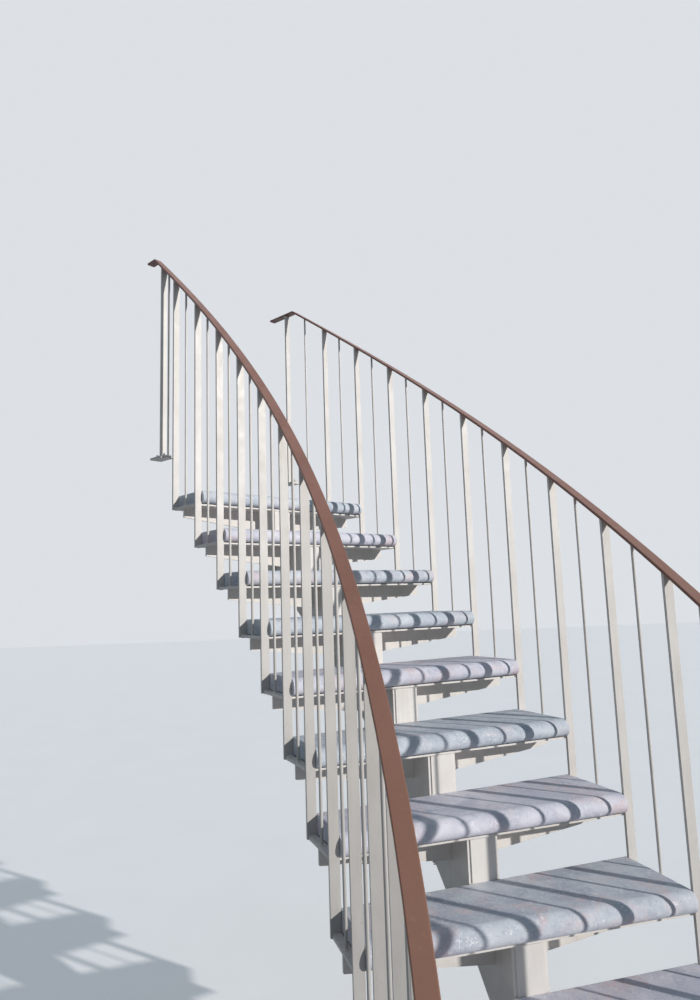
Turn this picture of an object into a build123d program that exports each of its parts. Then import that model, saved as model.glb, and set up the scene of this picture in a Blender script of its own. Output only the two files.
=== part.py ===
from build123d import *
import math
import os

# Curved outdoor stair, millimetres, +Z up.
# The origin is the middle of the underside of the spine's base plate, on the ground.
# The first steps climb towards +Y and the flight curves to the left, towards -X.
# "Inner" is the side nearer the centre of the curve, "outer" the far side.

# the flight
STEP_COUNT = 11
RISE = 190.0
STEP_ANGLE = 3.665
INNER_RADIUS = 3204.0
OUTER_RADIUS = 4150.0

# stone treads
STONE_THICKNESS = 58.0
NOSE_OVERHANG = 32.0
NOSE_UPPER_ROUND = 34.0
NOSE_LOWER_ROUND = 24.0
STONE_END_CLEARANCE = 1.5
STONE_BACK_CLEARANCE = 1.0
STONE_EDGE_ROUND = 2.0

# steel carrier under each stone
PLATE_THICKNESS = 10.0
PLATE_REACH = 26.0
PLATE_NOTCH_GAP = 0.1
GUSSET_THICKNESS = 10.0
GUSSET_ROOT_HEIGHT = 92.0
GUSSET_TIP_HEIGHT = 44.0
GUSSET_TIP_REACH = 25.0

# saw-tooth box spine
SPINE_WIDTH = 100.0
SPINE_OFFSET = -28.0
SPINE_THROAT = 138.0
SPINE_WALL = 8.0
FRONT_PLATE_WIDTH = 82.0
FRONT_PLATE_STEP = 4.0

# plates that hold the spine to the ground and to the landing
BASE_PLATE_WIDTH = 260.0
BASE_PLATE_DEPTH = 370.0
BASE_PLATE_THICKNESS = 15.0
BASE_PLATE_CORNER = 12.0
BASE_HOLE_ACROSS = 200.0
BASE_HOLE_ALONG = 300.0
SPINE_FRONT_TO_ORIGIN = 137.0
BOLT_HOLE_RADIUS = 9.0
TOP_FLANGE_SIZE = 190.0
TOP_FLANGE_THICKNESS = 12.0
TOP_HOLE_SPACING = 140.0

# balusters
FLAT_WIDTH = 30.0
FLAT_THICKNESS = 10.0
FLAT_FORWARD = 4.0
ROD_RADIUS = 5.0
TOP_CLEARANCE = 0.08
FOOT_PLATE_THICKNESS = 10.0
FOOT_PLATE_WIDTH = 60.0
FOOT_PLATE_LENGTH = 90.0
FOOT_PLATE_SHIFT = 12.0
ROD_FOOT_SIZE = 44.0
FOOT_HOLE_RADIUS = 6.0
FOOT_HOLE_SPACING = 60.0

# handrails, their ends counted in steps along the flight
RAIL_WIDTH = 40.0
RAIL_THICKNESS = 10.0
RAIL_EDGE_ROUND = 2.5
RAIL_ABOVE_STONE = 881.0
RAIL_START = 0.3
INNER_RAIL_END = 12.84
OUTER_RAIL_END = 12.95
INNER_LEVEL_LENGTH = 60.0
OUTER_LEVEL_LENGTH = 200.0
INNER_LAST_ROD = 12.29
OUTER_LAST_ROD = 12.6
INNER_LAST_BAR = 12.57
OUTER_LAST_BAR_PAST_END = 65.0

# how far a cutting block starts beyond the face that it cuts
CUT_MARGIN = 1.0

SPINE_RADIUS = (INNER_RADIUS + OUTER_RADIUS) / 2 + SPINE_OFFSET
STONE_TOP_TO_PLATE_BOTTOM = STONE_THICKNESS + PLATE_THICKNESS
FIRST_FRONT = -math.degrees(math.atan2(SPINE_FRONT_TO_ORIGIN, SPINE_RADIUS))
LANDING_STEP = STEP_COUNT + 1
INNER_LINE = INNER_RADIUS - FLAT_WIDTH / 2
OUTER_LINE = OUTER_RADIUS + FLAT_WIDTH / 2
FLAT_MIDDLE = -FLAT_FORWARD - FLAT_THICKNESS / 2
LANDING_FOOT_TOP = LANDING_STEP * RISE + FOOT_PLATE_THICKNESS
TRIM_REACH = 2 * math.radians(STEP_ANGLE) * OUTER_RADIUS  # two steps, so it clears any piece of one step

os.makedirs("parts", exist_ok=True)


def front_angle(step):
    """Angle about the centre of the curve of the front of a step's leg; steps count from 1."""
    return FIRST_FRONT + (step - 1) * STEP_ANGLE


def place(shape, step):
    """Moves a shape drawn about the centre of the curve to a step's front line."""
    return Pos(-SPINE_RADIUS, 0, 0) * Rot(0, 0, front_angle(step)) * shape


def plate_bottom(step):
    """Height of the underside of a step's steel plate."""
    return step * RISE - STONE_TOP_TO_PLATE_BOTTOM


def going(radius):
    """Length of one step along a circle of this radius."""
    return math.radians(STEP_ANGLE) * radius


def outer_limit():
    """Length that reaches past everything from the centre of the curve."""
    return OUTER_RADIUS + TRIM_REACH


def between_radii(inner, outer, low, high):
    """Ring about the centre of the curve, drawn about z, that cuts the ends of a tread."""
    ring = Cylinder(outer, high - low) - Cylinder(inner, high - low)
    return Pos(0, 0, (low + high) / 2) * ring


def before_next_front(clearance, low, high):
    """Block filling everything in front of the next step's front plane, less a clearance."""
    reach = 2 * TRIM_REACH
    block = Box(outer_limit(), reach, high - low)
    block = Pos(outer_limit() / 2, -clearance - reach / 2, (low + high) / 2) * block
    return Rot(0, 0, STEP_ANGLE) * block


def stone_blank():
    """Stone with a full rounded nose, the upper round larger than the lower one."""
    back = going(OUTER_RADIUS) + TRIM_REACH / 2
    upper = NOSE_UPPER_ROUND
    lower = NOSE_LOWER_ROUND
    with BuildSketch(Plane.YZ) as side:
        with BuildLine():
            top_start = (upper - NOSE_OVERHANG, STONE_THICKNESS)
            nose_end = (-NOSE_OVERHANG, lower)
            bottom_start = (lower - NOSE_OVERHANG, 0)
            RadiusArc(top_start, nose_end, -upper)
            RadiusArc(nose_end, bottom_start, -lower)
            Polyline(bottom_start, (back, 0), (back, STONE_THICKNESS), top_start)
        make_face()
    bar = Pos(outer_limit() / 2, 0, 0) * extrude(side.sketch, outer_limit() / 2, both=True)
    inner = INNER_RADIUS + STONE_END_CLEARANCE
    outer = OUTER_RADIUS - STONE_END_CLEARANCE
    high = STONE_THICKNESS + CUT_MARGIN
    shape = bar & between_radii(inner, outer, -CUT_MARGIN, high)
    shape = shape & before_next_front(STONE_BACK_CLEARANCE, -CUT_MARGIN, high)
    return fillet(stone_edges(shape), STONE_EDGE_ROUND)


def stone_edges(shape):
    """The straight back edge and the two curved end edges of the top of a stone."""
    top = shape.faces().sort_by(Axis.Z)[-1]
    return [edge for edge in top.edges() if edge.center().Y > NOSE_UPPER_ROUND]


def plate_blank():
    """Steel plate that reaches past its stone at both ends and is notched for the next two flat bars."""
    high = PLATE_THICKNESS
    depth = 2 * TRIM_REACH
    plate = Box(outer_limit(), depth, high)
    plate = Pos(outer_limit() / 2, depth / 2 - FLAT_FORWARD, high / 2) * plate
    plate = plate & between_radii(INNER_RADIUS - PLATE_REACH, OUTER_RADIUS + PLATE_REACH, 0, high)
    plate = plate & before_next_front(0, 0, high)
    notch = Box(2 * FLAT_WIDTH, 2 * (FLAT_FORWARD + FLAT_THICKNESS), 4 * high)
    for side, end in ((-1, INNER_RADIUS), (1, OUTER_RADIUS)):
        middle = end + side * (FLAT_WIDTH - PLATE_NOTCH_GAP)
        plate = plate - Rot(0, 0, STEP_ANGLE) * Pos(middle, 0, 0) * notch
    return plate


def gusset(side, end):
    """Tapered web under a plate, halfway along the step, from the spine to near the end of the plate."""
    inside = SPINE_RADIUS + side * SPINE_WIDTH / 4
    root = SPINE_RADIUS + side * SPINE_WIDTH / 2
    tip = end + side * GUSSET_TIP_REACH
    with BuildSketch(Plane.XZ) as web:
        with BuildLine():
            Polyline(
                (inside, 0), (inside, -GUSSET_ROOT_HEIGHT), (root, -GUSSET_ROOT_HEIGHT),
                (tip, -GUSSET_TIP_HEIGHT), (tip, 0), close=True,
            )
        make_face()
    shape = Rot(0, 0, STEP_ANGLE / 2) * extrude(web.sketch, GUSSET_THICKNESS / 2, both=True)
    spine = Box(SPINE_WIDTH, 2 * TRIM_REACH, 4 * GUSSET_ROOT_HEIGHT)
    return shape - Pos(SPINE_RADIUS, 0, 0) * spine


def carrier_blank():
    """Plate and its two gussets, welded into one piece."""
    return plate_blank() + gusset(-1, INNER_RADIUS) + gusset(1, OUTER_RADIUS)


def spine_underside(step, depth):
    """Height of the sloping underside of the spine, so far behind a step's front."""
    slope = RISE / going(SPINE_RADIUS)
    return plate_bottom(step - 1) - SPINE_THROAT + slope * depth


def spine_outline(step, front, top, lift):
    """Side of one tooth: upright front, level top, sloping underside cut off at the base plate."""
    floor = BASE_PLATE_THICKNESS + lift
    back = 1.2 * going(SPINE_RADIUS)
    slope = RISE / going(SPINE_RADIUS)
    rise = lift / math.cos(math.atan(slope))
    front_low = spine_underside(step, front) + rise
    back_low = spine_underside(step, back) + rise
    points = [(front, top)]
    if front_low < floor:
        points += [(front, floor), (front + (floor - front_low) / slope, floor)]
    else:
        points += [(front, front_low)]
    points += [(back, back_low), (back, top)]
    with BuildSketch(Plane.YZ) as side:
        with BuildLine():
            Polyline(*points, close=True)
        make_face()
    return side.sketch


def spine_step(step):
    """One tooth of the box spine, from a step's front plane to the next one."""
    top = plate_bottom(step)
    wall = SPINE_WALL
    shape = extrude(spine_outline(step, 0, top, 0), SPINE_WIDTH / 2, both=True)
    inside = spine_outline(step, wall + FRONT_PLATE_STEP, top - wall, wall)
    shape = shape - extrude(inside, SPINE_WIDTH / 2 - wall, both=True)
    lip_bottom = BASE_PLATE_THICKNESS if step == 1 else (step - 1) * RISE
    lip_width = (SPINE_WIDTH - FRONT_PLATE_WIDTH) / 2
    for side in (-1, 1):
        lip = Box(2 * lip_width, 2 * FRONT_PLATE_STEP, top - lip_bottom)
        shape = shape - Pos(side * SPINE_WIDTH / 2, 0, (top + lip_bottom) / 2) * lip
    end = TOP_FLANGE_THICKNESS if step == STEP_COUNT else 0
    shape = Pos(SPINE_RADIUS, 0, 0) * shape
    shape = shape & before_next_front(end, 0, top + CUT_MARGIN)
    return place(shape, step)


def base_plate():
    """Plate on the ground under the foot of the spine, with four anchor holes."""
    plate = Box(BASE_PLATE_WIDTH, BASE_PLATE_DEPTH, BASE_PLATE_THICKNESS)
    plate = Pos(0, 0, BASE_PLATE_THICKNESS / 2) * plate
    plate = fillet(plate.edges().filter_by(Axis.Z), BASE_PLATE_CORNER)
    for x in (-BASE_HOLE_ACROSS / 2, BASE_HOLE_ACROSS / 2):
        for y in (-BASE_HOLE_ALONG / 2, BASE_HOLE_ALONG / 2):
            plate = plate - Pos(x, y, 0) * Cylinder(BOLT_HOLE_RADIUS, 4 * BASE_PLATE_THICKNESS)
    return plate


def top_flange():
    """Plate at the end of the spine that bolts to the face of the landing."""
    middle = plate_bottom(STEP_COUNT) - TOP_FLANGE_SIZE / 2
    thick = TOP_FLANGE_THICKNESS
    plate = Pos(SPINE_RADIUS, -thick / 2, middle) * Box(TOP_FLANGE_SIZE, thick, TOP_FLANGE_SIZE)
    for x in (-TOP_HOLE_SPACING / 2, TOP_HOLE_SPACING / 2):
        for z in (-TOP_HOLE_SPACING / 2, TOP_HOLE_SPACING / 2):
            hole = Rot(90, 0, 0) * Cylinder(BOLT_HOLE_RADIUS, 4 * thick)
            plate = plate - Pos(SPINE_RADIUS + x, 0, middle + z) * hole
    return place(plate, LANDING_STEP)


def rail_under(steps):
    """Height of the underside of a handrail at a step's front line; steps may be a fraction."""
    return steps * RISE + RAIL_ABOVE_STONE


def pitch_angle(radius):
    """Slope of the flight along a circle of this radius, in degrees."""
    return math.degrees(math.atan2(RISE, going(radius)))


def upright(section, radius, steps, along, foot, slope):
    """Baluster from its foot to the handrail, its top cut to the slope of the rail."""
    top = rail_under(steps)
    length = top + FLAT_WIDTH - foot
    bar = Pos(0, 0, foot) * extrude(section, length)
    block = Pos(0, 0, TRIM_REACH / 2) * Box(TRIM_REACH, 4 * TRIM_REACH, TRIM_REACH)
    bar = bar - Pos(0, 0, top - TOP_CLEARANCE) * Rot(slope, 0, 0) * block
    return place(Pos(radius, along, 0) * bar, steps)


def flat_bar(radius, steps, foot):
    """Upright flat bar, wide across the flight, its back face just in front of a radial line."""
    section = Pos(0, -FLAT_FORWARD - FLAT_THICKNESS / 2) * Rectangle(FLAT_WIDTH, FLAT_THICKNESS)
    return upright(section, radius, steps, 0, foot, pitch_angle(radius))


def level_bar(radius, steps, along, foot):
    """Upright flat bar under the level end of a handrail, so far past the end of its slope."""
    return upright(Rectangle(FLAT_WIDTH, FLAT_THICKNESS), radius, steps, along, foot, 0)


def flat_bars(radius, last_bar):
    """All flat bars of one side: one at each tread's front, and one near the end of the rail."""
    pieces = [flat_bar(radius, 1, FOOT_PLATE_THICKNESS)]
    for step in range(2, LANDING_STEP + 1):
        pieces.append(flat_bar(radius, step, plate_bottom(step - 1)))
    pieces.append(last_bar)
    return Compound(children=pieces)


def rods(radius, last):
    """All thin rods of one side: one on the plate at each tread's end, and one on the landing."""
    section = Circle(ROD_RADIUS)
    slope = pitch_angle(radius)
    pieces = []
    for step in range(1, STEP_COUNT + 1):
        foot = plate_bottom(step) + PLATE_THICKNESS
        pieces.append(upright(section, radius, step + 0.5, 0, foot, slope))
    pieces.append(upright(section, radius, last, 0, LANDING_FOOT_TOP, slope))
    return Compound(children=pieces)


def bar_foot(radius, steps, along, top):
    """Small plate under a flat bar that stands on the ground or on the landing."""
    side = -1 if radius < SPINE_RADIUS else 1
    plate = Box(FOOT_PLATE_WIDTH, FOOT_PLATE_LENGTH, FOOT_PLATE_THICKNESS)
    for y in (-FOOT_HOLE_SPACING / 2, FOOT_HOLE_SPACING / 2):
        plate = plate - Pos(0, y, 0) * Cylinder(FOOT_HOLE_RADIUS, 4 * FOOT_PLATE_THICKNESS)
    plate = Pos(radius + side * FOOT_PLATE_SHIFT, along, top - FOOT_PLATE_THICKNESS / 2) * plate
    return place(plate, steps)


def rod_foot(radius, steps, top):
    """Small square plate under the thin rod that stands on the landing."""
    plate = Box(ROD_FOOT_SIZE, ROD_FOOT_SIZE, FOOT_PLATE_THICKNESS)
    return place(Pos(radius, 0, top - FOOT_PLATE_THICKNESS / 2) * plate, steps)


def rail_section():
    """Cross section of the flat handrail, its underside on the x line."""
    return Pos(0, RAIL_THICKNESS / 2) * RectangleRounded(RAIL_WIDTH, RAIL_THICKNESS, RAIL_EDGE_ROUND)


def mitre_block(radius, steps, turn):
    """Block on one side of the mitre between the slope of a rail and its level end."""
    size = 2 * RAIL_WIDTH
    block = Rot(turn + pitch_angle(radius) / 2, 0, 0) * Pos(0, size / 2, 0) * Box(size, size, size)
    return place(Pos(radius, 0, rail_under(steps)) * block, steps)


def handrail(radius, end_steps):
    """Flat rail bent to a helix, its top end cut to the mitre."""
    spare = 0.05
    height = 2 * math.pi * radius * math.tan(math.radians(pitch_angle(radius)))
    turns = (end_steps + spare - RAIL_START) * STEP_ANGLE / 360
    path = Helix(height, height * turns, radius)
    start = Plane(path.position_at(0), x_dir=(-1, 0, 0), z_dir=path.tangent_at(0))
    rail = sweep(start * rail_section(), path, is_frenet=True)
    rail = place(Pos(0, 0, rail_under(RAIL_START)) * rail, RAIL_START)
    return rail - mitre_block(radius, end_steps, 0)


def rail_end(radius, steps, length):
    """Level end of a handrail, cut to the same mitre."""
    spare = 2 * RAIL_THICKNESS
    rail = extrude(Plane.XZ * rail_section(), -length - spare)
    rail = place(Pos(radius, -spare, rail_under(steps)) * rail, steps)
    return rail - mitre_block(radius, steps, 180)


stone = stone_blank()
carrier = carrier_blank()
for number in range(1, STEP_COUNT + 1):
    stone_height = number * RISE - STONE_THICKNESS
    export_step(place(Pos(0, 0, stone_height) * stone, number), f"parts/stone_tread_{number:02d}.step")
    carrier_height = plate_bottom(number)
    export_step(place(Pos(0, 0, carrier_height) * carrier, number), f"parts/tread_carrier_{number:02d}.step")
    export_step(spine_step(number), f"parts/spine_step_{number:02d}.step")

export_step(base_plate(), "parts/spine_base_plate.step")
export_step(top_flange(), "parts/spine_top_flange.step")

inner_last = flat_bar(INNER_LINE, INNER_LAST_BAR, LANDING_FOOT_TOP)
# the last inner rod stands so close to the last bar that one plate carries both
inner_top_foot = bar_foot(INNER_LINE, INNER_LAST_BAR, FLAT_MIDDLE, LANDING_FOOT_TOP)
inner_top_foot = inner_top_foot + rod_foot(INNER_LINE, INNER_LAST_ROD, LANDING_FOOT_TOP)
inner_feet = [bar_foot(INNER_LINE, 1, FLAT_MIDDLE, FOOT_PLATE_THICKNESS), *inner_top_foot.solids()]
export_step(flat_bars(INNER_LINE, inner_last), "parts/inner_flat_bars.step")
export_step(rods(INNER_LINE, INNER_LAST_ROD), "parts/inner_rods.step")
export_step(Compound(children=inner_feet), "parts/inner_baluster_feet.step")
export_step(handrail(INNER_LINE, INNER_RAIL_END), "parts/inner_handrail.step")
export_step(rail_end(INNER_LINE, INNER_RAIL_END, INNER_LEVEL_LENGTH), "parts/inner_rail_end.step")

outer_last = level_bar(OUTER_LINE, OUTER_RAIL_END, OUTER_LAST_BAR_PAST_END, LANDING_FOOT_TOP)
outer_feet = [
    bar_foot(OUTER_LINE, 1, FLAT_MIDDLE, FOOT_PLATE_THICKNESS),
    bar_foot(OUTER_LINE, OUTER_RAIL_END, OUTER_LAST_BAR_PAST_END, LANDING_FOOT_TOP),
    rod_foot(OUTER_LINE, OUTER_LAST_ROD, LANDING_FOOT_TOP),
]
export_step(flat_bars(OUTER_LINE, outer_last), "parts/outer_flat_bars.step")
export_step(rods(OUTER_LINE, OUTER_LAST_ROD), "parts/outer_rods.step")
export_step(Compound(children=outer_feet), "parts/outer_baluster_feet.step")
export_step(handrail(OUTER_LINE, OUTER_RAIL_END), "parts/outer_handrail.step")
export_step(rail_end(OUTER_LINE, OUTER_RAIL_END, OUTER_LEVEL_LENGTH), "parts/outer_rail_end.step")
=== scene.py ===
import math
import random
import bpy
import bmesh
from mathutils import Matrix, Vector


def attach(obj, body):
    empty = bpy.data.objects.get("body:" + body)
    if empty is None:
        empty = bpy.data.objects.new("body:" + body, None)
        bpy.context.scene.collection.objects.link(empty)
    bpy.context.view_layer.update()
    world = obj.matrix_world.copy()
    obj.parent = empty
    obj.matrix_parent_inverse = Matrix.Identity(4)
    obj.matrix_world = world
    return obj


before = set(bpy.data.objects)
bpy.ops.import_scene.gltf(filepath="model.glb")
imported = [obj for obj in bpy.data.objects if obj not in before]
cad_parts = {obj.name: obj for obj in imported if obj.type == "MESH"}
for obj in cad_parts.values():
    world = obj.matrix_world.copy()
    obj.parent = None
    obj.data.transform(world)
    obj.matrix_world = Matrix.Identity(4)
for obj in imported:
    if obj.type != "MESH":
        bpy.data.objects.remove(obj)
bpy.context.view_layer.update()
scene = bpy.context.scene

# camera: fitted to the photograph, in metres and radians, in the frame of the CAD model
CAMERA_AT = (-0.6822, -1.3141, 1.5850)
CAMERA_YAW = 0.1114
CAMERA_PITCH = 0.1422
CAMERA_ROLL = -0.0319
FOCAL_PIXELS = 693.43
PHOTO_HEIGHT = 1000
SENSOR_WIDTH = 36
CLIP_START = 0.01

# light: a low sun where the photograph has it, a bluish fill and a pale backdrop
SUN_TOWARDS = (0.744, -0.573, 0.342)
SUN_STRENGTH = 3.05
SUN_ANGLE = math.radians(0.8)
SUN_COLOUR = (1.0, 0.98, 0.95)
FILL_COLOUR = (0.62, 0.81, 1.0)
FILL_STRENGTH = 0.27
BACKDROP_COLOUR = (0.72, 0.75, 0.79)

# floor: half its width in metres, its two shades to the eye, and what it gives to scattered light
FLOOR_REACH = 30
FLOOR_SHADES = (0.84, 0.88)
FLOOR_SCATTER = 0.28
FLOOR_GLOW_COLOUR = (0.95, 0.97, 1.0)
FLOOR_GLOW = 0.20
FLOOR_ROUGHNESS = 0.9

# stone: its clouds from dark to pale, and the marks that lie over them
STONE_CLOUDS = ((0.39, 0.415, 0.49), (0.50, 0.52, 0.585), (0.63, 0.64, 0.685))
STONE_STREAKS = (0.66, 0.675, 0.715)
STONE_MOTTLE = (0.67, 0.685, 0.72)
STONE_PINK = (0.70, 0.55, 0.575)
STONE_SLATE = (0.30, 0.35, 0.45)
STONE_VEINS = (0.88, 0.88, 0.90)
STONE_SPECKS = (0.78, 0.78, 0.81)
STONE_GRAINS = (0.20, 0.23, 0.31)
SLATE_SHIFT = (3, 1, 2)
STONE_SPECULAR = 0.3
STONE_ROUGHNESS = (0.62, 0.80)

# kinds of stone: how far the pattern is shifted, the tint of the clouds and the strength of the pink
STONE_KINDS = {
    "a": ((0.0, 0.0, 0.0), (1.01, 1.07, 1.06), 0.35),
    "b": ((1.7, 0.4, 2.3), (1.07, 1.08, 1.07), 0.80),
    "c": ((4.1, 2.6, 0.9), (1.26, 1.19, 1.21), 0.90),
}

# the kind of each tread, from the lowest up: a is bluish, b is grey with pink, c is pale with pink
STONE_ORDER = "abcbcacabca"

# cream paint, what lies on it, and a darkening towards the bottom of the bars
CREAM_SHADES = ((0.71, 0.66, 0.615), (0.79, 0.745, 0.70))
CREAM_STREAKS = (0.55, 0.50, 0.43)
CREAM_DUST = (0.60, 0.55, 0.48)
LOW_DARKENING_COLOUR = (0.39, 0.37, 0.35)
RUST_STAIN = (0.43, 0.27, 0.16)
BARE_CHIP = (0.20, 0.10, 0.06)
CREAM_ROUGHNESS = (0.42, 0.60)

# heights between which the bars turn darker towards the bottom, and how strong that darkening is on the
# two sides
LOW_DARKENING_BOTTOM = 0.7
LOW_DARKENING_TOP = 2.2
LOW_DARKENING_INNER_SIDE = 0.85
LOW_DARKENING_OUTER_SIDE = 0.35

# brown paint of the handrails, and the heights between which its sun-worn colour fades out
BROWN_SHADES = ((0.150, 0.056, 0.038), (0.225, 0.092, 0.064))
BROWN_WORN = (0.210, 0.098, 0.058)
BROWN_RUBBED_AND_LIT_TOP = (0.29, 0.150, 0.112)
BROWN_SPOTS = (0.33, 0.20, 0.155)
BROWN_SCRATCHES = (0.12, 0.06, 0.05)
BROWN_ROUGHNESS = (0.34, 0.54)
WORN_BOTTOM = 0.9
WORN_TOP = 1.9

# zinc of the bolts, and the dark sealant under the stones, whose bead under each nose also paints the
# shadow line there
ZINC_SHADES = ((0.36, 0.36, 0.36), (0.55, 0.55, 0.54))
ZINC_RUST = (0.28, 0.14, 0.07)
ZINC_METALLIC = 0.7
ZINC_ROUGHNESS = (0.38, 0.62)
SEALANT_AND_SHADE_LINE_TONES = ((0.045, 0.045, 0.047), (0.115, 0.110, 0.105))
SEALANT_ROUGHNESS = (0.65, 0.85)

# sizes of the CAD model that the added pieces sit on, in metres
STEPS = 11
RISE = 0.190
STEP_ANGLE = math.radians(3.665)
INNER_RADIUS = 3.204
OUTER_RADIUS = 4.150
SPINE_RADIUS = (INNER_RADIUS + OUTER_RADIUS) / 2 - 0.028
FIRST_FRONT = -math.atan2(0.137, SPINE_RADIUS)
STONE_THICKNESS = 0.058
STONE_END_CLEARANCE = 0.0015
PLATE_THICKNESS = 0.010
PLATE_REACH = 0.026
GUSSET_THICKNESS = 0.010
GUSSET_ROOT_HEIGHT = 0.092
GUSSET_TIP_REACH = 0.025
SPINE_WIDTH = 0.100
SPINE_THROAT = 0.138
BASE_PLATE_TOP = 0.015
BASE_HOLES = (0.200, 0.300)
FLANGE_SIZE = 0.190
FLANGE_THICKNESS = 0.012
FLANGE_HOLES = 0.140
FLAT_WIDTH = 0.030
FLAT_THICKNESS = 0.010
FLAT_FORWARD = 0.004
FOOT_TOP = 0.010
LANDING_FOOT_TOP = (STEPS + 1) * RISE + FOOT_TOP
FOOT_SHIFT = 0.012
FOOT_HOLES = 0.060
ROD_RADIUS = 0.005
INNER_LAST_BAR = 12.57
OUTER_RAIL_END = 12.95
OUTER_LAST_BAR_PAST_END = 0.065
INNER_LAST_ROD = 12.29
OUTER_LAST_ROD = 12.6

# weld beads: radii, in metres
GUSSET_BEAD = 0.0026
ROOT_BEAD = 0.0030
FRONT_BEAD = 0.0028
SEAM_BEAD = 0.0024
FOOT_BEAD = 0.003
BALUSTER_BEAD = 0.0024
NOTCH_BEAD = 0.0022

# weld beads: length of one ripple, corners round a bead, and its narrowing at both ends
BEAD_PITCH = 0.0045
FINE_PITCH = 0.003
BEAD_CORNERS = 6
BEAD_TAPER = 0.45

# weld beads: how far they stop short of the ends of their seams, and where two of the seams end
LONG_INSET = 0.006
SEAM_INSET = 0.004
SHORT_INSET = 0.003
NOTCH_INSET = 0.001
FRONT_SEAM_INSET = 0.010
BASE_SEAM_INSET = 0.012
TOOTH_SEAM_END = 0.225
BASE_SEAM_END = 0.228
LEAST_SEAM = 0.01

# collar of weld round a rod: pairs of height and width past the rod
ROD_COLLAR = ((0, 0.0028), (0.0012, 0.0020), (0.0032, 0.0002))
COLLAR_CORNERS = 16

# nuts: the size that all parts of a bolt follow, and the length of the stud above the nut
ANCHOR_NUT = 0.015
ANCHOR_STUD = 0.012
FLANGE_STUD = 0.010
FOOT_NUT = 0.0095
FOOT_STUD = 0.006
WASHER_CORNERS = 28
STUD_CORNERS = 20

# sealant: radii and ripples of its two beads, and where they lie; the bead under each nose is also a
# painted shadow line
NOSE_SEALANT_AND_SHADE_LINE = 0.0019
NOSE_SEALANT_AND_SHADE_LINE_PITCH = 0.009
END_SEALANT = 0.0017
END_SEALANT_PITCH = 0.008
SEALANT_INSET = 0.004
SEALANT_FORWARD = 0.0010
SEALANT_BELOW = 0.0012
SEALANT_OUT = 0.0006
SEALANT_FIRST = 0.03
SEALANT_SHARE = 0.9
SEALANT_PARTS = 6


def add_camera():
    sin_yaw, cos_yaw = math.sin(CAMERA_YAW), math.cos(CAMERA_YAW)
    sin_pitch, cos_pitch = math.sin(CAMERA_PITCH), math.cos(CAMERA_PITCH)
    forward = Vector((sin_yaw * cos_pitch, cos_yaw * cos_pitch, sin_pitch))
    right = Vector((cos_yaw, -sin_yaw, 0))
    up = right.cross(forward)
    sin_roll, cos_roll = math.sin(CAMERA_ROLL), math.cos(CAMERA_ROLL)
    x_axis = right * cos_roll + up * sin_roll
    y_axis = up * cos_roll - right * sin_roll
    matrix = Matrix((x_axis, y_axis, -forward)).transposed().to_4x4()
    matrix.translation = Vector(CAMERA_AT)
    data = bpy.data.cameras.new("camera")
    data.lens = FOCAL_PIXELS / PHOTO_HEIGHT * SENSOR_WIDTH
    data.sensor_width = SENSOR_WIDTH
    data.clip_start = CLIP_START
    camera = bpy.data.objects.new("camera", data)
    scene.collection.objects.link(camera)
    camera.matrix_world = matrix
    scene.camera = camera


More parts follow.
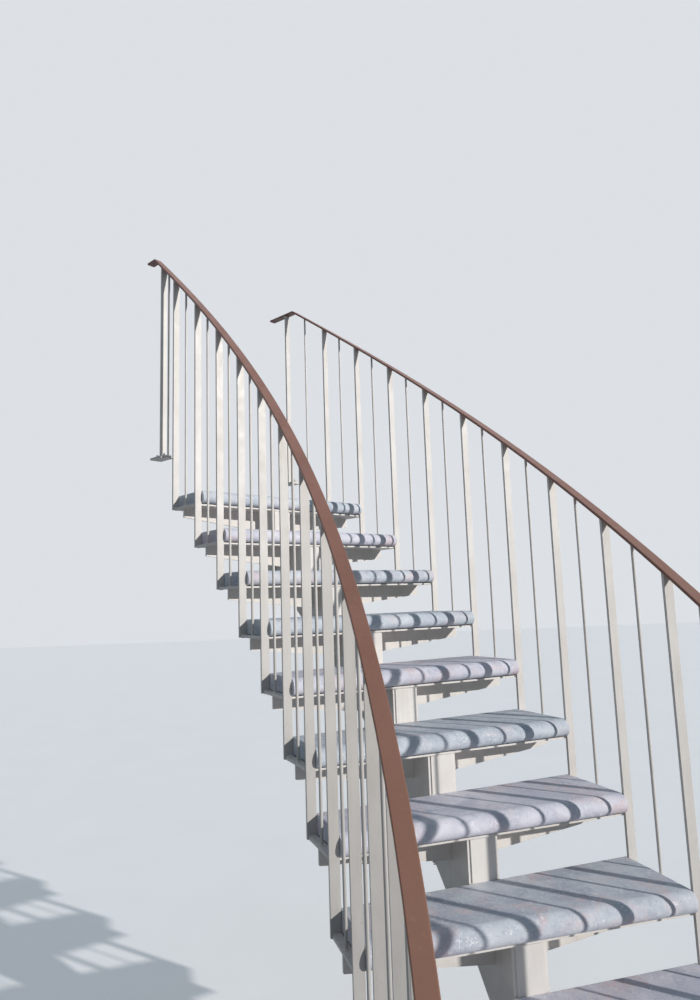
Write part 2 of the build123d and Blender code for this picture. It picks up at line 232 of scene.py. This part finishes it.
class Nodes:
    """Short way to write a node tree."""

    def __init__(self, name):
        self.material = bpy.data.materials.new(name)
        self.material.use_nodes = True
        self.tree = self.material.node_tree
        self.shader = self.tree.nodes["Principled BSDF"]

    def add(self, kind, **values):
        node = self.tree.nodes.new(kind)
        for key, value in values.items():
            setattr(node, key, value)
        return node

    def link(self, source, target):
        self.tree.links.new(source, target)

    def position(self, scale=(1, 1, 1), shift=(0, 0, 0)):
        coordinates = self.add("ShaderNodeTexCoord")
        mapping = self.add("ShaderNodeMapping")
        mapping.inputs["Scale"].default_value = scale
        mapping.inputs["Location"].default_value = shift
        self.link(coordinates.outputs["Object"], mapping.inputs["Vector"])
        return mapping.outputs["Vector"]

    def noise(self, vector, scale, detail=4.0, roughness=0.5, distortion=0.0, output="Fac"):
        node = self.add("ShaderNodeTexNoise")
        node.inputs["Scale"].default_value = scale
        node.inputs["Detail"].default_value = detail
        node.inputs["Roughness"].default_value = roughness
        node.inputs["Distortion"].default_value = distortion
        self.link(vector, node.inputs["Vector"])
        return node.outputs[output]

    def cell_edges(self, vector, scale):
        node = self.add("ShaderNodeTexVoronoi", feature="DISTANCE_TO_EDGE")
        node.inputs["Scale"].default_value = scale
        self.link(vector, node.inputs["Vector"])
        return node.outputs["Distance"]

    def bent(self, vector, scale, amount):
        """The same place pushed about by a noise, so that patterns read from it curl."""
        push = self.add("ShaderNodeVectorMath", operation="MULTIPLY_ADD")
        push.inputs[1].default_value = (amount, amount, amount)
        self.link(self.noise(vector, scale, 2, 0.5, 0, "Color"), push.inputs[0])
        self.link(vector, push.inputs[2])
        return push.outputs["Vector"]

    def ramp(self, source, *stops):
        node = self.add("ShaderNodeValToRGB")
        ramp = node.color_ramp
        while len(ramp.elements) < len(stops):
            ramp.elements.new(0.5)
        for element, (place, colour) in zip(ramp.elements, stops):
            element.position = place
            element.color = (*colour, 1)
        self.link(source, node.inputs["Fac"])
        return node.outputs["Color"]

    def mask(self, source, start, end, strength=1):
        """0 where the source is below the start, the strength where it is past the end."""
        return self.ramp(source, (start, grey(0)), (end, grey(strength)))

    def fade(self, source, start, end, strength=1):
        """The strength where the source is below the start, 0 where it is past the end."""
        return self.ramp(source, (start, grey(strength)), (end, grey(0)))

    def times(self, first, second):
        node = self.add("ShaderNodeMath", operation="MULTIPLY")
        for socket, value in zip(node.inputs, (first, second)):
            if isinstance(value, (int, float)):
                socket.default_value = value
            else:
                self.link(value, socket)
        return node.outputs["Value"]

    def mix(self, factor, first, second):
        node = self.add("ShaderNodeMix", data_type="RGBA")
        inputs = [socket for socket in node.inputs if socket.enabled]
        for socket, value in zip(inputs, (factor, first, second)):
            if isinstance(value, (int, float)):
                socket.default_value = value
            elif isinstance(value, tuple):
                socket.default_value = (*value, 1)
            else:
                self.link(value, socket)
        return [socket for socket in node.outputs if socket.enabled][0]

    def z_of(self, vector):
        split = self.add("ShaderNodeSeparateXYZ")
        self.link(vector, split.inputs["Vector"])
        return split.outputs["Z"]

    def upward(self):
        """How far the surface faces up: 0 for a wall, 1 for a floor."""
        return self.z_of(self.add("ShaderNodeTexCoord").outputs["Normal"])

    def height(self):
        return self.z_of(self.position())

    def share_of(self, source, low, high):
        """Straight line from 0 where the source is at low to 1 where it is at high."""
        node = self.add("ShaderNodeMapRange")
        node.inputs["From Min"].default_value = low
        node.inputs["From Max"].default_value = high
        self.link(source, node.inputs["Value"])
        return node.outputs["Result"]

    def bump(self, height, strength, distance, normal=None):
        node = self.add("ShaderNodeBump")
        node.inputs["Strength"].default_value = strength
        node.inputs["Distance"].default_value = distance
        self.link(height, node.inputs["Height"])
        if normal is not None:
            self.link(normal, node.inputs["Normal"])
        return node.outputs["Normal"]

    def colour(self, source):
        self.link(source, self.shader.inputs["Base Color"])

    def roughness(self, source, low, high):
        spread = self.ramp(source, (0.3, grey(low)), (0.7, grey(high)))
        self.link(spread, self.shader.inputs["Roughness"])

    def normal(self, source):
        self.link(source, self.shader.inputs["Normal"])


def grey(value):
    return (value,) * 3


def tinted(colour, tint):
    return tuple(value * share for value, share in zip(colour, tint))


def stone_material(name, shift, tint, pink):
    """Honed blue-grey stone with bedding streaks, hair veins, faint pink patches and dark grains."""
    n = Nodes(name)
    where = n.position(shift=shift)
    dark, middle, pale = (tinted(colour, tint) for colour in STONE_CLOUDS)
    colour = n.ramp(n.noise(where, 10, 6, 0.6, 0.5), (0.32, dark), (0.50, middle), (0.68, pale))
    streaks = n.mask(n.noise(n.position((6, 40, 40), shift), 1, 5, 0.65, 0.4), 0.48, 0.66, 0.45)
    colour = n.mix(streaks, colour, STONE_STREAKS)
    mottle = n.mask(n.noise(where, 52, 6, 0.66, 1.0), 0.46, 0.64, 0.45)
    colour = n.mix(mottle, colour, STONE_MOTTLE)
    patch = n.mask(n.noise(where, 8.5, 3, 0.5, 0.6), 0.51, 0.62)
    blush = n.mask(n.noise(where, 42, 5, 0.65, 0.8), 0.38, 0.60, pink)
    colour = n.mix(n.times(patch, blush), colour, STONE_PINK)
    slate = n.mask(n.noise(n.position(shift=SLATE_SHIFT), 27, 5, 0.6, 0.6), 0.58, 0.72, 0.45)
    colour = n.mix(slate, colour, STONE_SLATE)
    hairs = n.fade(n.cell_edges(n.bent(where, 40, 0.045), 42), 0.012, 0.050)
    broken = n.mask(n.noise(where, 75, 2, 0.5), 0.46, 0.56)
    veined = n.mask(n.noise(where, 16, 4, 0.6), 0.42, 0.56, 0.85)
    colour = n.mix(n.times(n.times(hairs, broken), veined), colour, STONE_VEINS)
    specks = n.mask(n.noise(where, 230, 3, 0.7), 0.58, 0.70, 0.55)
    colour = n.mix(specks, colour, STONE_SPECKS)
    grains = n.fade(n.noise(where, 180, 2, 0.6), 0.30, 0.38, 0.35)
    colour = n.mix(grains, colour, STONE_GRAINS)
    n.colour(colour)
    n.shader.inputs["Specular IOR Level"].default_value = STONE_SPECULAR
    n.roughness(n.noise(where, 40, 4), *STONE_ROUGHNESS)
    waves = n.bump(n.noise(where, 12, 3), 0.2, 0.003)
    n.normal(n.bump(n.noise(where, 150, 5, 0.65), 0.22, 0.0007, waves))
    return n.material


def steel_material(name, low_darkening):
    """Cream gloss paint on steel: brush marks, streaks, a few rust chips, and a patchy darkening
    towards the bottom.
    """
    n = Nodes(name)
    where = n.position()
    dull, bright = CREAM_SHADES
    colour = n.ramp(n.noise(where, 7, 5, 0.55), (0.35, dull), (0.65, bright))
    streaks = n.mask(n.noise(n.position((34, 34, 2.4)), 1.7, 5, 0.6, 0.2), 0.54, 0.80, 0.45)
    colour = n.mix(streaks, colour, CREAM_STREAKS)
    dust = n.mask(n.noise(where, 3.2, 6, 0.7, 0.4), 0.55, 0.75, 0.30)
    colour = n.mix(dust, colour, CREAM_DUST)
    # the bars are made darker towards the bottom, in patches, by the given strength
    if low_darkening > 0:
        lower = n.times(n.share_of(n.height(), LOW_DARKENING_TOP, LOW_DARKENING_BOTTOM), low_darkening)
        blotches = n.noise(n.position((20, 20, 5)), 1, 5, 0.65)
        patchy = n.ramp(blotches, (0.30, grey(0.75)), (0.65, grey(1)))
        colour = n.mix(n.times(lower, patchy), colour, LOW_DARKENING_COLOUR)
    stain = n.mask(n.noise(where, 34, 6, 0.75, 0.5), 0.665, 0.72, 0.55)
    colour = n.mix(n.times(stain, n.noise(where, 9, 3, 0.5)), colour, RUST_STAIN)
    chips = n.mask(n.noise(where, 75, 5, 0.72, 0.3), 0.715, 0.73, 0.9)
    colour = n.mix(chips, colour, BARE_CHIP)
    n.colour(colour)
    n.roughness(n.noise(where, 25, 4), *CREAM_ROUGHNESS)
    brush = n.noise(n.position((260, 260, 9)), 1, 3, 0.5)
    n.normal(n.bump(brush, 0.14, 0.0005, n.bump(n.noise(where, 80, 4, 0.6), 0.15, 0.0008)))
    return n.material


def rail_material():
    """Brown paint on the handrail, paler on top from wear by hands and from a painted highlight on the
    upturned faces, with worn spots.
    """
    n = Nodes("brown_painted_rail")
    where = n.position()
    deep, bright = BROWN_SHADES
    colour = n.ramp(n.noise(where, 9, 5, 0.6), (0.32, deep), (0.70, bright))
    colour = n.mix(n.share_of(n.height(), WORN_TOP, WORN_BOTTOM), colour, BROWN_WORN)
    # upturned faces made paler in patches: wear, and a painted highlight where the light falls on the
    # top
    rubbed_and_lit_top = n.times(n.mask(n.upward(), 0.55, 0.80), n.noise(where, 5, 4, 0.6))
    colour = n.mix(rubbed_and_lit_top, colour, BROWN_RUBBED_AND_LIT_TOP)
    spots = n.mask(n.noise(where, 80, 5, 0.7), 0.60, 0.76, 0.5)
    colour = n.mix(spots, colour, BROWN_SPOTS)
    scratches = n.fade(n.cell_edges(n.bent(where, 20, 0.05), 26), 0.004, 0.014, 0.25)
    colour = n.mix(n.times(scratches, n.noise(where, 15, 2)), colour, BROWN_SCRATCHES)
    n.colour(colour)
    n.roughness(n.noise(where, 30, 4), *BROWN_ROUGHNESS)
    n.normal(n.bump(n.noise(where, 130, 4, 0.6), 0.2, 0.0005))
    return n.material


def zinc_material():
    """Galvanised bolts and nuts, spangled and slightly rusty."""
    n = Nodes("galvanised_bolts")
    where = n.position()
    dark, pale = ZINC_SHADES
    tone = n.ramp(n.noise(where, 120, 3, 0.6), (0.35, dark), (0.65, pale))
    rust = n.mask(n.noise(where, 60, 5, 0.7), 0.58, 0.70, 0.7)
    n.colour(n.mix(rust, tone, ZINC_RUST))
    n.shader.inputs["Metallic"].default_value = ZINC_METALLIC
    n.roughness(n.noise(where, 90, 3), *ZINC_ROUGHNESS)
    n.normal(n.bump(n.noise(where, 300, 3, 0.6), 0.3, 0.0004))
    return n.material


def bedding_and_shade_line_material():
    """Dark sealant pressed out between stone and steel; its bead under each nose also serves as painted
    shade for the shadow line there.
    """
    n = Nodes("dark_bedding_and_painted_shade")
    where = n.position()
    dark, pale = SEALANT_AND_SHADE_LINE_TONES
    n.colour(n.ramp(n.noise(where, 60, 4, 0.6), (0.35, dark), (0.70, pale)))
    n.roughness(n.noise(where, 50, 3), *SEALANT_ROUGHNESS)
    n.normal(n.bump(n.noise(where, 220, 4, 0.6), 0.4, 0.0006))
    return n.material


def straight_view(tree):
    """1 for rays from the camera and for reflected or refracted ones, 0 for scattered light."""
    path = tree.nodes.new("ShaderNodeLightPath")
    total = path.outputs["Is Camera Ray"]
    for kind in ("Is Glossy Ray", "Is Transmission Ray"):
        node = tree.nodes.new("ShaderNodeMath")
        node.operation = "ADD"
        node.use_clamp = True
        tree.links.new(total, node.inputs[0])
        tree.links.new(path.outputs[kind], node.inputs[1])
        total = node.outputs["Value"]
    return total


def floor_material():
    """Pale floor, seen and mirrored paler than the light which it scatters back."""
    n = Nodes("pale_floor")
    low, high = FLOOR_SHADES
    pale = n.ramp(n.noise(n.position(), 2, 3), (0.3, grey(low)), (0.7, grey(high)))
    seen = straight_view(n.tree)
    n.colour(n.mix(seen, grey(FLOOR_SCATTER), pale))
    n.shader.inputs["Emission Color"].default_value = (*FLOOR_GLOW_COLOUR, 1)
    n.link(n.times(seen, FLOOR_GLOW), n.shader.inputs["Emission Strength"])
    n.shader.inputs["Roughness"].default_value = FLOOR_ROUGHNESS
    return n.material


def add_floor():
    mesh = bpy.data.meshes.new("floor")
    corners = [(x * FLOOR_REACH, y * FLOOR_REACH, 0) for x, y in ((-1, -1), (1, -1), (1, 1), (-1, 1))]
    mesh.from_pydata(corners, [], [(0, 1, 2, 3)])
    floor = bpy.data.objects.new("floor", mesh)
    scene.collection.objects.link(floor)
    mesh.materials.append(floor_material())


def add_light():
    world = bpy.data.worlds.new("studio")
    world.use_nodes = True
    tree = world.node_tree
    fill = tree.nodes["Background"]
    fill.inputs["Color"].default_value = (*FILL_COLOUR, 1)
    fill.inputs["Strength"].default_value = FILL_STRENGTH
    backdrop = tree.nodes.new("ShaderNodeBackground")
    backdrop.inputs["Color"].default_value = (*BACKDROP_COLOUR, 1)
    choose = tree.nodes.new("ShaderNodeMixShader")
    tree.links.new(straight_view(tree), choose.inputs["Fac"])
    tree.links.new(fill.outputs["Background"], choose.inputs[1])
    tree.links.new(backdrop.outputs["Background"], choose.inputs[2])
    tree.links.new(choose.outputs["Shader"], tree.nodes["World Output"].inputs["Surface"])
    scene.world = world
    data = bpy.data.lights.new("key", "SUN")
    data.energy = SUN_STRENGTH
    data.angle = SUN_ANGLE
    data.color = SUN_COLOUR
    key = bpy.data.objects.new("key", data)
    scene.collection.objects.link(key)
    key.rotation_euler = Vector(SUN_TOWARDS).to_track_quat("Z", "Y").to_euler()


def front_angle(step):
    return FIRST_FRONT + (step - 1) * STEP_ANGLE


def placed(radius, along, height, step):
    """Point so far from the centre of the curve and behind a step's front line."""
    angle = front_angle(step)
    x = radius * math.cos(angle) - along * math.sin(angle)
    y = radius * math.sin(angle) + along * math.cos(angle)
    return Vector((x - SPINE_RADIUS, y, height))


def plate_bottom(step):
    return step * RISE - STONE_THICKNESS - PLATE_THICKNESS


class Piece:
    """Mesh gathered from many small forms, linked as one piece of the model."""

    def __init__(self, name, material, slot):
        self.name = name
        self.material = material
        self.slot = slot
        self.mesh = bmesh.new()

    def ring(self, centre, side, up, radius, count):
        points = []
        for index in range(count):
            turn = 2 * math.pi * index / count
            place = centre + side * (radius * math.cos(turn)) + up * (radius * math.sin(turn))
            points.append(self.mesh.verts.new(place))
        return points

    def skin(self, rings):
        """Closed surface over rings with the same number of points."""
        for first, second in zip(rings, rings[1:]):
            count = len(first)
            for index in range(count):
                after = (index + 1) % count
                self.mesh.faces.new((first[index], first[after], second[after], second[index]))
        self.mesh.faces.new(list(reversed(rings[0])))
        self.mesh.faces.new(rings[-1])

    def bead(self, start, end, radius, pitch=BEAD_PITCH):
        """Rippled weld bead between two points."""
        axis = (end - start).normalized()
        side = axis.orthogonal().normalized()
        up = axis.cross(side)
        length = (end - start).length
        steps = max(3, int(length / pitch))
        rings = []
        for index in range(steps + 1):
            taper = BEAD_TAPER if index in (0, steps) else 1.0
            ripple = 1.0 + (0.16 if index % 2 else -0.08) + random.uniform(-0.05, 0.05)
            centre = start + axis * (length * index / steps)
            rings.append(self.ring(centre, side, up, radius * taper * ripple, BEAD_CORNERS))
        self.skin(rings)

    def turned_form(self, centre, axis, profile, count, twist=0.0):
        """Form of revolution about an axis, from pairs of distance along it and radius."""
        side = axis.orthogonal().normalized()
        side = Matrix.Rotation(twist, 3, axis) @ side
        up = axis.cross(side)
        rings = [self.ring(centre + axis * along, side, up, radius, count) for along, radius in profile]
        self.skin(rings)

    def bolt(self, seat, axis, size, stud):
        """Washer, chamfered hexagon nut and threaded stud end, standing on a face."""
        rim = size * 0.98
        washer_top = size * 0.19
        washer = [(0, rim), (size * 0.16, rim), (washer_top, size * 0.94)]
        self.turned_form(seat, axis, washer, WASHER_CORNERS)
        nut_top = washer_top + size * 0.82
        flat = size * 0.86
        nut = [
            (washer_top, flat * 0.94), (washer_top + size * 0.06, flat),
            (nut_top - size * 0.08, flat), (nut_top, flat * 0.88),
        ]
        self.turned_form(seat, axis, nut, 6, random.uniform(0, 1))
        core = size * 0.5
        thread = [(nut_top - size * 0.02, core * 0.9)]
        along = nut_top
        while along < nut_top + stud:
            thread += [(along, core), (along + size * 0.05, core), (along + size * 0.09, core * 0.88)]
            along += size * 0.125
        thread.append((along, core * 0.80))
        self.turned_form(seat, axis, thread, STUD_CORNERS)

    def finish(self):
        mesh = bpy.data.meshes.new(self.name)
        self.mesh.normal_update()
        self.mesh.to_mesh(mesh)
        self.mesh.free()
        for face in mesh.polygons:
            face.use_smooth = len(face.vertices) == 4
        mesh.materials.append(self.material)
        piece = bpy.data.objects.new(self.name, mesh)
        scene.collection.objects.link(piece)
        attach(piece, "root")


def add_carrier_welds(steel):
    """Beads along the gussets under the plates, at their roots, and along the top of the spine."""
    welds = Piece("gusset_welds", steel, "cream_steel")
    roots = Piece("spine_welds", steel, "cream_steel")
    for step in range(1, STEPS + 1):
        low = plate_bottom(step)
        for side, end in ((-1, INNER_RADIUS), (1, OUTER_RADIUS)):
            root = SPINE_RADIUS + side * SPINE_WIDTH / 2
            tip = end + side * GUSSET_TIP_REACH
            for along in (-GUSSET_THICKNESS / 2, GUSSET_THICKNESS / 2):
                near = placed(root + side * LONG_INSET, along, low, step + 0.5)
                far = placed(tip - side * LONG_INSET, along, low, step + 0.5)
                welds.bead(near, far, GUSSET_BEAD)
                top = placed(root, along, low - SHORT_INSET, step + 0.5)
                bottom = placed(root, along, low - GUSSET_ROOT_HEIGHT + SEAM_INSET, step + 0.5)
                roots.bead(top, bottom, ROOT_BEAD)
            front = placed(root, LONG_INSET, low, step)
            back = placed(root, TOOTH_SEAM_END, low, step)
            roots.bead(front, back, GUSSET_BEAD)
        across = SPINE_WIDTH / 2 - FRONT_SEAM_INSET
        left = placed(SPINE_RADIUS - across, 0, low, step)
        right = placed(SPINE_RADIUS + across, 0, low, step)
        roots.bead(left, right, FRONT_BEAD)
    welds.finish()
    roots.finish()


def add_seam_welds(steel):
    """Beads round the spine where one tooth meets the next, and round its foot and flange."""
    seams = Piece("spine_seam_welds", steel, "cream_steel")
    half = SPINE_WIDTH / 2
    for step in range(2, STEPS + 1):
        top = plate_bottom(step - 1) - SEAM_INSET
        bottom = max(top + SEAM_INSET - SPINE_THROAT, BASE_PLATE_TOP + SEAM_INSET)
        for side in (-half, half):
            upper = placed(SPINE_RADIUS + side, 0, top, step)
            lower = placed(SPINE_RADIUS + side, 0, bottom, step)
            seams.bead(upper, lower, SEAM_BEAD)
        if bottom > BASE_PLATE_TOP + LEAST_SEAM:
            left = placed(SPINE_RADIUS - half, 0, bottom - SEAM_INSET, step)
            right = placed(SPINE_RADIUS + half, 0, bottom - SEAM_INSET, step)
            seams.bead(left, right, SEAM_BEAD)
    foot = BASE_PLATE_TOP
    for side in (-half, half):
        front = placed(SPINE_RADIUS + side, LONG_INSET, foot, 1)
        back = placed(SPINE_RADIUS + side, BASE_SEAM_END, foot, 1)
        seams.bead(front, back, FOOT_BEAD)
    left = placed(SPINE_RADIUS - half + BASE_SEAM_INSET, 0, foot, 1)
    right = placed(SPINE_RADIUS + half - BASE_SEAM_INSET, 0, foot, 1)
    seams.bead(left, right, FOOT_BEAD)
    top = plate_bottom(STEPS) - SEAM_INSET
    bottom = top - SPINE_THROAT + 2 * SEAM_INSET
    for side in (-half, half):
        upper = placed(SPINE_RADIUS + side, -FLANGE_THICKNESS, top, STEPS + 1)
        lower = placed(SPINE_RADIUS + side, -FLANGE_THICKNESS, bottom, STEPS + 1)
        seams.bead(upper, lower, FOOT_BEAD)
    seams.finish()


def add_baluster_welds(steel):
    """Short beads that hold the flat bars to the edges of the plates, and collars round the rods."""
    welds = Piece("baluster_welds", steel, "cream_steel")
    back = -FLAT_FORWARD
    front = -FLAT_FORWARD - FLAT_THICKNESS
    up = Vector((0, 0, 1))
    collar = [(along, ROD_RADIUS + width) for along, width in ROD_COLLAR]
    for side, end in ((-1, INNER_RADIUS), (1, OUTER_RADIUS)):
        line = end + side * FLAT_WIDTH / 2
        far = end + side * (PLATE_REACH - SHORT_INSET)
        near = end + side * SHORT_INSET
        for step in range(1, STEPS + 1):
            low = plate_bottom(step)
            top = low + PLATE_THICKNESS
            for height in (low, top):
                for along, bar in ((back, step), (front, step + 1)):
                    a = placed(near, along, height, bar)
                    b = placed(far, along, height, bar)
                    welds.bead(a, b, BALUSTER_BEAD, FINE_PITCH)
            a = placed(end, back, low + NOTCH_INSET, step)
            b = placed(end, back, top - NOTCH_INSET, step)
            welds.bead(a, b, NOTCH_BEAD, FINE_PITCH)
            welds.turned_form(placed(line, 0, top, step + 0.5), up, collar, COLLAR_CORNERS)
        last_rod = INNER_LAST_ROD if side < 0 else OUTER_LAST_ROD
        welds.turned_form(placed(line, 0, LANDING_FOOT_TOP, last_rod), up, collar, COLLAR_CORNERS)
        for height, step, middle in bar_feet(side):
            for along in (middle - FLAT_THICKNESS / 2, middle + FLAT_THICKNESS / 2):
                a = placed(line - FLAT_WIDTH / 2, along, height, step)
                b = placed(line + FLAT_WIDTH / 2, along, height, step)
                welds.bead(a, b, BALUSTER_BEAD, FINE_PITCH)
    welds.finish()


def bar_feet(side):
    """Top height, step and place along it of each foot plate under a flat bar."""
    middle = -FLAT_FORWARD - FLAT_THICKNESS / 2
    if side < 0:
        return ((FOOT_TOP, 1, middle), (LANDING_FOOT_TOP, INNER_LAST_BAR, middle))
    return ((FOOT_TOP, 1, middle), (LANDING_FOOT_TOP, OUTER_RAIL_END, OUTER_LAST_BAR_PAST_END))


def add_bolts(zinc):
    """Anchor nuts of the base plate, the landing flange and the small feet of the bars."""
    bolts = Piece("anchor_nuts", zinc, "cream_steel")
    up = Vector((0, 0, 1))
    for x in (-BASE_HOLES[0] / 2, BASE_HOLES[0] / 2):
        for y in (-BASE_HOLES[1] / 2, BASE_HOLES[1] / 2):
            bolts.bolt(Vector((x, y, BASE_PLATE_TOP)), up, ANCHOR_NUT, ANCHOR_STUD)
    middle = plate_bottom(STEPS) - FLANGE_SIZE / 2
    landing = front_angle(STEPS + 1)
    down_the_flight = Vector((math.sin(landing), -math.cos(landing), 0))
    for x in (-FLANGE_HOLES / 2, FLANGE_HOLES / 2):
        for z in (-FLANGE_HOLES / 2, FLANGE_HOLES / 2):
            seat = placed(SPINE_RADIUS + x, -FLANGE_THICKNESS, middle + z, STEPS + 1)
            bolts.bolt(seat, down_the_flight, ANCHOR_NUT, FLANGE_STUD)
    for side, end in ((-1, INNER_RADIUS), (1, OUTER_RADIUS)):
        line = end + side * (FLAT_WIDTH / 2 + FOOT_SHIFT)
        for height, step, along in bar_feet(side):
            for shift in (-FOOT_HOLES / 2, FOOT_HOLES / 2):
                bolts.bolt(placed(line, along + shift, height, step), up, FOOT_NUT, FOOT_STUD)
    bolts.finish()


def add_bedding_and_shade_line(bedding):
    """Dark sealant pressed out under the nose of each stone and along its two ends; the bead under the
    nose also paints the shadow line there.
    """
    beds = Piece("stone_bedding_and_shade_line", bedding, "tread_stone")
    ends = ((-1, INNER_RADIUS + STONE_END_CLEARANCE), (1, OUTER_RADIUS - STONE_END_CLEARANCE))
    nose = -FLAT_FORWARD - SEALANT_FORWARD
    for step in range(1, STEPS + 1):
        top = plate_bottom(step) + PLATE_THICKNESS
        # dark bead under the nose: sealant, and also a painted shadow line under the stone
        start = placed(INNER_RADIUS + SEALANT_INSET, nose, top - SEALANT_BELOW, step)
        end = placed(OUTER_RADIUS - SEALANT_INSET, nose, top - SEALANT_BELOW, step)
        beds.bead(start, end, NOSE_SEALANT_AND_SHADE_LINE, NOSE_SEALANT_AND_SHADE_LINE_PITCH)
        for side, radius in ends:
            points = []
            for index in range(SEALANT_PARTS + 1):
                stop = SEALANT_FIRST + SEALANT_SHARE * index / SEALANT_PARTS
                points.append(placed(radius + side * SEALANT_OUT, 0, top + SEALANT_OUT, step + stop))
            for first, second in zip(points, points[1:]):
                beds.bead(first, second, END_SEALANT, END_SEALANT_PITCH)
    beds.finish()


def dress_nodes(steel, rail):
    inner_steel = steel_material("cream_steel_inner_side", LOW_DARKENING_INNER_SIDE)
    outer_steel = steel_material("cream_steel_outer_side", LOW_DARKENING_OUTER_SIDE)
    stones = {}
    for kind, values in STONE_KINDS.items():
        stones[kind] = stone_material(f"tread_stone_{kind}", *values)
    for name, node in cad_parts.items():
        if name.startswith("stone_tread"):
            material = stones[STONE_ORDER[int(name[-2:]) - 1]]
        elif name.endswith(("handrail", "rail_end")):
            material = rail
        elif name in ("inner_flat_bars", "inner_rods"):
            material = inner_steel
        elif name in ("outer_flat_bars", "outer_rods"):
            material = outer_steel
        else:
            material = steel
        for slot in node.material_slots:
            slot.material = material


random.seed(5)
scene.view_settings.view_transform = "Standard"
cream_steel = steel_material("cream_painted_steel", 0)
add_camera()
dress_nodes(cream_steel, rail_material())
add_carrier_welds(cream_steel)
add_seam_welds(cream_steel)
add_baluster_welds(cream_steel)
add_bolts(zinc_material())
add_bedding_and_shade_line(bedding_and_shade_line_material())
add_floor()
add_light()
